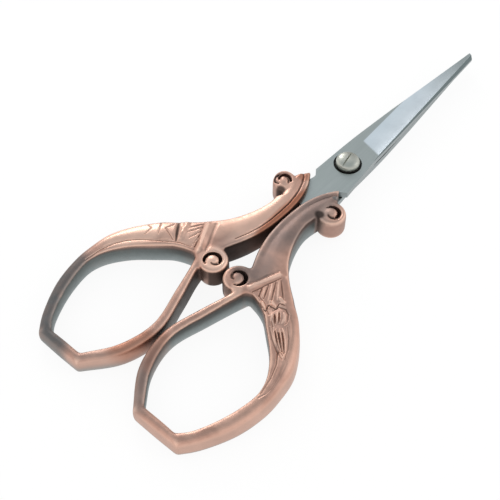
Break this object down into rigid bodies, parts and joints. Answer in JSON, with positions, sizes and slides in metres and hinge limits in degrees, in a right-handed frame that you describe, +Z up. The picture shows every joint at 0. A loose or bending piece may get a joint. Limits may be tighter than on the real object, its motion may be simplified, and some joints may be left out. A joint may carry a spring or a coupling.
{
  "type": "embroidery scissors",
  "caption": "Small pointed sewing scissors with scrolled cast handles, finger loops, hollow-ground blades and a slotted pivot screw.",
  "frame": {"origin": "on the table, under the middle of the closed scissors' length and width", "axes": "+Y from the finger loops to the tip, +X to the right handle, +Z up off the table through the pivot screw's head"},
  "size_m": [0.0528, 0.1254, 0.0073],
  "materials": {
    "antiqued_copper_plate": "antiqued copper plating, rubbed bright on the high spots and dark in the recesses",
    "satin_stainless_steel": "satin, ground along the blade",
    "screw_steel": "turned, lightly polished",
    "blackened_washer": "blackened"
  },
  "bodies": {
    "lower_half": {"lower_blade": "satin_stainless_steel", "right_handle": "antiqued_copper_plate", "pivot_screw": "screw_steel", "pivot_washer": "blackened_washer"},
    "upper_half": {"upper_blade": "satin_stainless_steel", "left_handle": "antiqued_copper_plate"}
  },
  "joints": [
    {"name": "pivot", "type": "hinge", "parent": "lower_half", "child": "upper_half", "pos_m": [0, 0.0129, 0.00325], "axis": [0, 0, -1], "range_deg": [0, 60]}
  ]
}
